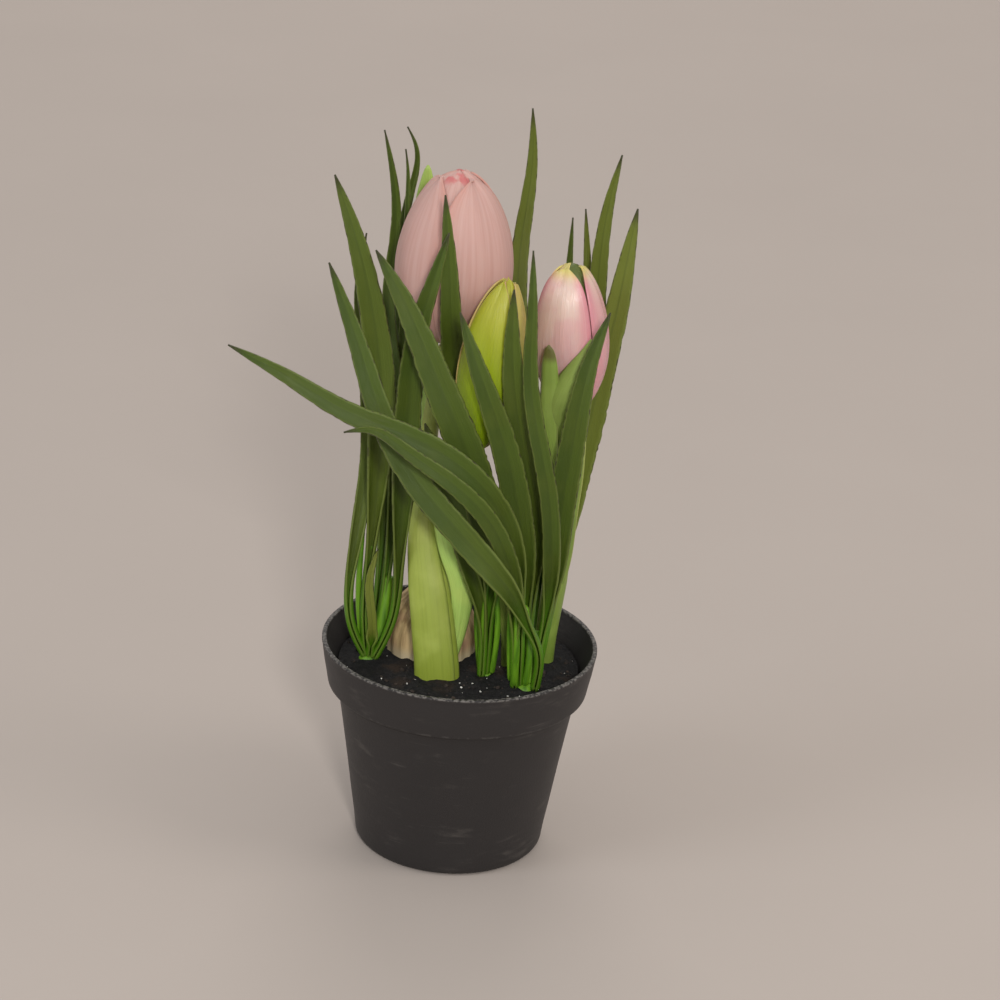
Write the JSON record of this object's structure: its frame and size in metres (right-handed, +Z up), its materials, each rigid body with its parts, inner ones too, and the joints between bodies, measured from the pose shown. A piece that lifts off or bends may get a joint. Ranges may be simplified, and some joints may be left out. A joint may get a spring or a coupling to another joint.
{
  "type": "potted tulip",
  "caption": "Potted tulips with closed flowers on leafy stems, strap leaves and a bulb, standing in soil in a small round tapered plant pot with a rim band.",
  "frame": {"origin": "middle of the pot's flat underside, on the surface it stands on", "axes": "+Z up, -Y the front, towards the viewer of the picture, +X to the right"},
  "size_m": [0.1235, 0.09, 0.2451],
  "materials": {
    "pot_plastic": "matt black moulded plastic with light scuffs and a pale worn rim edge",
    "soil": "dark crumbly growing medium with a few white grains",
    "bulb_skin": "dry papery brown skin with fine upright streaks",
    "leaf_light": "smooth yellow-green leaf with a satin surface and fine lengthwise veins",
    "petal_pink": "soft matt pink petal with fine lengthwise veins and darker edges",
    "stem_green": "smooth satin green stem",
    "petal_yellow_green": "satin yellow-green petal of a bud, warmer at the edges",
    "leaf_mid": "smooth green leaf with a pale edge and a darker middle",
    "petal_blush": "glossy cream petal flushed with pink, yellow at the tip",
    "strap_leaf": "satin dark green strap leaf, brighter at its base"
  },
  "bodies": {
    "root": {"pot": "pot_plastic", "soil": "soil", "bulb": "bulb_skin", "stem_pink": "leaf_light", "flower_pink": "petal_pink", "stem_yellow": "stem_green", "flower_yellow": "petal_yellow_green", "stem_blush": "leaf_mid", "flower_blush": "petal_blush", "leaves_left": "strap_leaf", "leaves_middle": "strap_leaf", "leaves_front": "strap_leaf", "leaves_right": "strap_leaf"}
  },
  "joints": []
}
